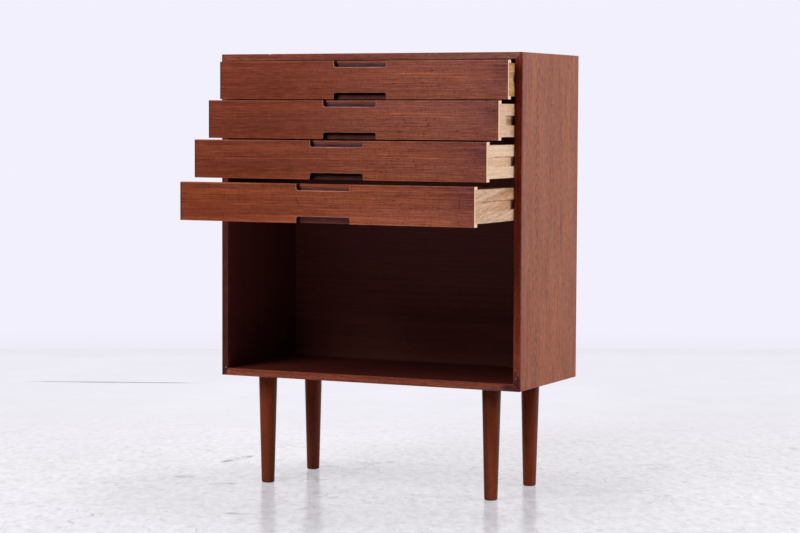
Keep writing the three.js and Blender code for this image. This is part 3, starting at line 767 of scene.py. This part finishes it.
# the faces' eased arrises, written lighter as painted highlight
faceArris = woodFinish(
    "faceArris", plainTeak, seed=63.0, tone=(150, 84, 62), warmTone=(184, 106, 66), coolTone=(140, 84, 74),
    rough=0.36)
faceEdge = woodFinish(
    "faceEdge", plainTeak, grain="Z", seed=68.0, tone=(178, 104, 62), deepTone=(150, 78, 44), warmTone=(206, 134, 78),
    coolTone=(150, 84, 58))
coreLook = dict(
    paleTones, grain="Z", seed=64.0, tone=(250, 222, 188), deepTone=(236, 200, 160), warmTone=(244, 204, 154),
    bands=[("Y", 0.5, 3.4, 0.9, (206, 126, 62)), ("Z", 60, 30, 0.25, (226, 190, 150))])
paleBack = woodFinish("paleBack", paleTones, grain="X", seed=65.0)
plySheet = woodFinish(
    "plySheet", paleTones, grain="X", seed=66.0, tone=(204, 170, 128), ringWidth=16, pith=(0, 100, 30))
plyEdge = woodFinish(
    "plyEdge", paleTones, grain="X", seed=67.0, tone=(176, 138, 98), ringWidth=1.3, ringDepth=0.8, pith=(0, 0, 900))


def faceFinish(middle, direction):
    if 0.1 < abs(direction.y) < 0.97:
        return 3
    return 2 if abs(direction.x) > 0.9 and abs(middle.x) > 300 else 0


for index, (drawer, y, z) in enumerate(drawerPlaces):
    place = (0, y, z)
    face = copyPiece(faceMaster, drawer + "_facing", place)
    faceTeak = woodFinish(
        drawer + "FaceTeak", faceTones, seed=71 + 0.16 * index, centre=place, tone=faceShades[index],
        wash=("X", -230, 270, faceSheenTints[index]), poreFade=("X", -300, 120, 0.35), marks=faceMarks[index])
    finishFaces(face, (faceTeak, faceArris, faceEdge, pullLip), faceFinish)
    easeEdges(face, 0.25, 2, 1)
    fit(face, drawer, "teak_face", drawer + "_face")

    front = copyPiece(frontMaster, drawer + "_core", place)
    coreEnd = woodFinish(drawer + "CoreEnd", coreLook, centre=place, wander=0.3)

    def coreFinish(middle, direction):
        local = middle - Vector(place)
        if inPull(local) and local.y > size["face"]:
            return 3 if abs(direction.x) > 0.3 else 0
        return 1 if abs(direction.z) > 0.9 and (local.z > height - 0.1 or local.z < 0.1) else 2

    finishFaces(front, (pullTeak, edgeTeak, coreEnd, pullEnd), coreFinish)
    easeEdges(front, 0.2, 1)
    fit(front, drawer, "pale_wood", drawer + "_front")

    paleSide = woodFinish(drawer + "SideWood", paleTones, seed=81 + 3.1 * index, centre=place,
                          pith=(300, 60, 40 + 14 * index), **sideLooks[index])
    for isMirrored, sideName in enumerate(("right", "left")):
        wall = copyPiece(sideMaster, drawer + "_" + sideName + "Wall", place, mirrorX=isMirrored)
        finishFaces(wall, (paleSide,))
        easeEdges(wall, 0.5, 2)
        fit(wall, drawer, "pale_wood", drawer + "_" + sideName + "_side")

    back = copyPiece(backMaster, drawer + "_rearWall", place)
    finishFaces(back, (paleBack,))
    easeEdges(back, 0.5, 2)
    fit(back, drawer, "pale_wood", drawer + "_back")
    floor = copyPiece(bottomMaster, drawer + "_floorSheet", place)
    finishFaces(floor, (plySheet, plyEdge), lambda middle, direction: 0 if abs(direction.z) > 0.9 else 1)
    fit(floor, drawer, "plywood", drawer + "_bottom")
discard(faceMaster, frontMaster, sideMaster, backMaster, bottomMaster)
print("drawers done")

# What stays from the frame: tongues, runners, leg plates and bolts
steel, tree, surface, place = startFinish("zincSteel")
blotches = noise(tree, mapped(tree, place, (160, 160, 160)), 3.0, 3, 0.6)
brushed = noise(tree, mapped(tree, place, (90, 2500, 2500)), 5.0, 2, 0.5)
feed(tree, surface, {"Base Color": blend(tree, blotches, shade(150, 150, 148), shade(190, 190, 186)),
                     "Roughness": ranged(tree, brushed, 0.3, 0.7, 0.3, 0.48), "Metallic": 1})
keptFinishes = [("runner", woodFinish("runnerWood", paleTones, seed=91.0)), ("leg_plate", steel), ("leg_bolt", steel),
                ("_spline", woodFinish("tongueWood", paleTones, grain="X", seed=92.0))]
for name, node in nodes.items():
    for part, finish in keptFinishes:
        if part in name:
            finishFaces(node, (finish,))
print("kept nodes finished")

# Screws and pins
screwSizes = dict(
    flatHead=3.2, flatShank=1.6, flatHigh=1.7, slotHalf=0.4, slotDeep=0.9, roundHead=3.4, roundTop=2.448,
    roundHigh=1.1, crossShare=0.62, pin=1.3, pinTop=0.78, pinHigh=0.4)
screwSpots = dict(
    plateHalf=22, plateUnder=234.6, runnerFace=329.1, runnerDepths=(36.65, 220.75), runnerUp=40.4,
    pinAcross=(-220, 0, 220), pinBack=300, pinUp=16.5, backFace=259.75, backSide=338.6, backUp=(300, 490, 680, 870),
    backAcross=(-210, 0, 210), backEnds=(248.3, 920.7))


def slotHead(screw, headAt, radius, isCross):
    half = screwSizes["slotHalf"]
    cuts = [newBlock("slotCutter", (-radius - 1, radius + 1), (-half, half),
                     (headAt - screwSizes["slotDeep"], headAt + 1))]
    if isCross:
        cuts[0].scale.x = screwSizes["crossShare"]
        settle(cuts[0])
        cuts.append(copyPiece(cuts[0], "slotCutter", turn=("Z", math.pi / 2)))
    cutAway(screw, *cuts)


# each stands on the origin with its head up
size = screwSizes
high = size["flatHigh"]
flatScrew = newRound("flatScrew", (0, 0, -high), size["flatShank"], high, 20, size["flatHead"])
slotHead(flatScrew, 0, size["flatHead"], False)
roundScrew = newRound("roundScrew", (0, 0, 0), size["roundHead"], size["roundHigh"], 20, size["roundTop"])
slotHead(roundScrew, size["roundHigh"], size["roundHead"], True)
pin = newRound("pin", (0, 0, 0), size["pin"], size["pinHigh"], 12, size["pinTop"])
for master in (flatScrew, roundScrew, pin):
    finishFaces(master, (steel,))
    shadeSoftly(master)


def drive(master, name, spot, turn, body, skew=0.0):
    # sets a screw with its head at the spot; the slot never stops at the same angle
    loose = copyPiece(master, name + "_loose", turn=("Z", skew))
    screw = copyPiece(loose, name, turn=turn, about=spot)
    discard(loose)
    fit(screw, body, "steel")


spots = screwSpots
for index, (x, y, leg) in enumerate(legSpots):
    for corner, (sideX, sideY) in enumerate(((-1, -1), (1, -1), (1, 1), (-1, 1))):
        spot = (x + sideX * spots["plateHalf"], y + sideY * spots["plateHalf"], spots["plateUnder"])
        drive(flatScrew, "plateScrew_%s_%d" % (leg, corner + 1), spot, ("X", math.pi), "case",
              0.9 * corner + 0.7 * index)
for index, (drawer, y, z) in enumerate(drawerPlaces):
    for side, sideName in ((-1, "left"), (1, "right")):
        for order, depth in enumerate(spots["runnerDepths"]):
            spot = (side * spots["runnerFace"], depth, z + spots["runnerUp"])
            drive(flatScrew, "runnerScrew_%d_%s_%d" % (index + 1, sideName, order + 1), spot,
                  ("Y", -side * math.pi / 2), "case", 1.3 * index + 0.8 * order)
    for order, x in enumerate(spots["pinAcross"]):
        drive(pin, "%s_pin_%d" % (drawer, order + 1), (x, y + spots["pinBack"], z + spots["pinUp"]), ("X", math.pi),
              drawer)
backScrews = [(side * spots["backSide"], z) for side in (-1, 1) for z in spots["backUp"]]
backScrews += [(x, z) for z in spots["backEnds"] for x in spots["backAcross"]]
for order, (x, z) in enumerate(backScrews):
    drive(roundScrew, "backScrew_%d" % (order + 1), (x, spots["backFace"], z), ("X", -math.pi / 2), "case",
          0.77 * order)
discard(flatScrew, roundScrew, pin)
print("screws and pins done")

# Camera, floor, backdrop and lamps
cameraSizes = dict(spot=(2.14515, -4.42977, 0.80084), turn=0.4418, tilt=0.0649, roll=0.0043, lens=104.171)
letGo()
bpy.ops.object.camera_add()
camera = bpy.context.object
camera.data.lens = cameraSizes["lens"]
camera.data.sensor_width = 36
camera.data.clip_end = 60
camera.matrix_world = (Matrix.Translation(cameraSizes["spot"]) @ Matrix.Rotation(cameraSizes["turn"], 4, "Z")
                       @ Matrix.Rotation(math.pi / 2 - cameraSizes["tilt"], 4, "X")
                       @ Matrix.Rotation(cameraSizes["roll"], 4, "Z"))
bpy.context.scene.camera = camera

# smudges: middle in x and y, half length and half width, turn, amount, how broken; some are painted shadow and
# painted light
stageSizes = dict(
    half=2.94, turn=0.485, wallSeen=(0.888, 0.871, 0.973, 1), glow=(0.45, 0.85), glowNear=(0.93, 0.905, 0.96, 1),
    glowFar=(0.875, 0.855, 0.935, 1),
    smudges=[
        (-1582, 1451, 300, 13, 0.394, 0.6, 0.2), (-491, 262, 78, 19, 1.456, 0.42, 0.8),
        (-463, -22, 30, 26, 0.44, 0.18, 1), (-336, -83, 40, 30, 0.44, 0.2, 1), (-8, -292, 34, 60, 0.44, 0.16, 1),
        (-120, -386, 50, 16, 0.3, 0.2, 0.9), (-135, 270, 110, 6, -0.977, 0.16, 0.6),
        # the smudge at (0, -60) is a painted shadow under the chest, and those with negative amounts are lighter
        # patches of painted light
        (-330, 240, 160, 120, 0.44, 0.05, 1), (413, 923, 420, 320, 0.44, -0.02, 0.2),
        (860, 480, 420, 1300, 0.44, -0.03, 0.2), (0, -60, 760, 520, 0.44, 0.12, 0.2),
        (-640, 1300, 900, 1000, 0.44, -0.03, 0.2)])
letGo()
bpy.ops.mesh.primitive_plane_add(size=2 * stageSizes["half"], location=(0, 0.1, 0))
ground = bpy.context.object
ground.name = "studioFloor"
ground.rotation_euler.z = stageSizes["turn"]
settle(ground)
floorFinish, tree, surface, place = startFinish("paleFloor")
clouds = noise(tree, mapped(tree, place, (5, 5, 5)), 2.0, 6, 0.62)
facing = mapped(tree, place, turn=(0, 0, -stageSizes["turn"]))
away = axes(tree, facing)["Y"]
near = ranged(tree, away, 1.5, 0.2, 0, 1, smooth=True)
scuffs = noise(tree, mapped(tree, facing, (12, 9, 1)), 5.0, 6, 0.72)
sand = noise(tree, mapped(tree, facing, (52, 22, 1)), 4.0, 5, 0.72)

# fine cracks in patches, specks and worn places
bent = noise(tree, mapped(tree, place, (6, 6, 6)), 6.0, 3, 0.6, wantColour=True)
crackPlace = vectorOf(tree, "MULTIPLY_ADD", {0: bent, 1: (0.3, 0.3, 0), 2: place})
cells = newNode(tree, "ShaderNodeTexVoronoi", {"Scale": 9, "Vector": crackPlace}, feature="DISTANCE_TO_EDGE")
patches = noise(tree, mapped(tree, place, (3.4, 3.4, 3.4)), 8.0, 3)
cracks = times(tree, ranged(tree, cells.outputs["Distance"], 0.0, 0.03, 0.24, 0, smooth=True),
               ranged(tree, patches, 0.47, 0.6))
specks = ranged(tree, noise(tree, mapped(tree, facing, (40, 24, 1)), 12.0, 4, 0.68), 0.55, 0.66, 0, 0.2)
worn = times(tree, ranged(tree, scuffs, 0.57, 0.7, 0, 0.3), ranged(tree, clouds, 0.44, 0.58, 0.25, 1))
cracks = reckon(tree, "ADD", times(tree, cracks, near), times(tree, specks, ranged(tree, near, 0, 1, 0.15, 1)))
cracks = reckon(tree, "ADD", cracks, times(tree, near, worn))

grit = times(tree, ranged(tree, sand, 0.3, 0.7, -0.15, 0.17), ranged(tree, near, 0, 1, 0.05, 1))
texture = times(tree, ranged(tree, clouds, 0.35, 0.65, 0.985, 1.025), reckon(tree, "ADD", 1, grit))
for x, y, halfLong, halfWide, turn, amount, broken in stageSizes["smudges"]:
    mask = spotMask(tree, place, (x, y, 0), (halfLong, halfWide, 50), (0, 0, turn))
    smudgeAndShade = ranged(tree, mask, 0, 0.4, 0, amount, smooth=True)
    smudgeAndShade = times(tree, smudgeAndShade, ranged(tree, scuffs, 0.44, 0.6, 1 - broken, 1 + broken))
    texture = times(tree, texture, reckon(tree, "SUBTRACT", 1, smudgeAndShade))
texture = times(tree, texture, reckon(tree, "SUBTRACT", 1, cracks))
# painted shade: the floor darkens toward the camera, and a little at its far edge
texture = times(tree, texture, ranged(tree, away, -0.6, 0.3, 0.915, 1, smooth=True))
texture = times(tree, texture, ranged(tree, away, 2.72, 2.92, 1, 0.97, smooth=True))
paleGrey = blend(tree, clouds, shade(224, 221, 232), shade(230, 227, 238))
feed(tree, surface, {"Base Color": lighter(tree, paleGrey, texture), "Roughness": 0.2, "Specular IOR Level": 0.4})
far = ranged(tree, away, 0.2, 2.2, smooth=True)
glowColour = blend(tree, far, stageSizes["glowNear"], stageSizes["glowFar"])
glow = newNode(tree, "ShaderNodeEmission", {"Color": glowColour, "Strength": texture}).outputs[0]
seen = tree.nodes.new("ShaderNodeLightPath").outputs["Is Camera Ray"]
glowShare = times(tree, seen, ranged(tree, far, 0, 1, *stageSizes["glow"]))
feed(tree, tree.nodes["Material Output"], {"Surface": mixed(tree, glowShare, surface.outputs[0], glow)})
ground.data.materials.append(floorFinish)

# the room: a bright backdrop low behind the chest, dim above and in front
# strengths of these three, for direct and for mirrored light
roomSizes = dict(direct=(1.0, 0.32, 0.06), mirrored=(1.1, 0.3, 0.05))
world = bpy.data.worlds.new("studio")
bpy.context.scene.world = world
world.use_nodes = True
sky = world.node_tree
sky.nodes.clear()
paths = sky.nodes.new("ShaderNodeLightPath").outputs
direction = axes(sky, sky.nodes.new("ShaderNodeTexCoord").outputs["Generated"])
behind = ranged(sky, direction["Y"], -0.12, 0.18, smooth=True)
low = ranged(sky, direction["Z"], 0.42, 0.78, 1, 0, smooth=True)


def roomLight(backdrop, above, inFront):
    amount = reckon(sky, "ADD", times(sky, behind, ranged(sky, low, 0, 1, above, backdrop)),
                    ranged(sky, behind, 0, 1, inFront, 0))
    return newNode(sky, "ShaderNodeBackground", {"Strength": amount, "Color": (1, 1, 1, 1)}).outputs[0]


wallLight = ranged(sky, direction["Z"], -0.0995, -0.09, 0.965, 1, smooth=True)
wall = newNode(sky, "ShaderNodeBackground", {"Strength": wallLight, "Color": stageSizes["wallSeen"]}).outputs[0]
isShiny = reckon(sky, "MAXIMUM", paths["Is Glossy Ray"], paths["Is Transmission Ray"])
room = mixed(sky, isShiny, roomLight(*roomSizes["direct"]), roomLight(*roomSizes["mirrored"]))
newNode(sky, "ShaderNodeOutputWorld", {"Surface": mixed(sky, paths["Is Camera Ray"], room, wall)})

lampSizes = dict(
    key=dict(spot=(-0.95, -2.2, 2.55), aim=(0, 0, 0.6), size=(1.6, 2.1), power=84),
    side=dict(spot=(3.3, 0.42, 1.85), aim=(0.3, 0, 0.6), size=(1.1, 0.9), power=50))
for name, lamp in lampSizes.items():
    letGo()
    bpy.ops.object.light_add(type="AREA", location=lamp["spot"])
    light = bpy.context.object
    light.name = name + "Lamp"
    light.data.shape = "RECTANGLE"
    light.data.size, light.data.size_y = lamp["size"]
    light.data.energy = lamp["power"]
    away = Vector(lamp["spot"]) - Vector(lamp["aim"])
    light.rotation_euler = away.to_track_quat("Z", "Y").to_euler()
    light.visible_camera = False
print("stage done")

bpy.context.scene.view_settings.view_transform = "Standard"
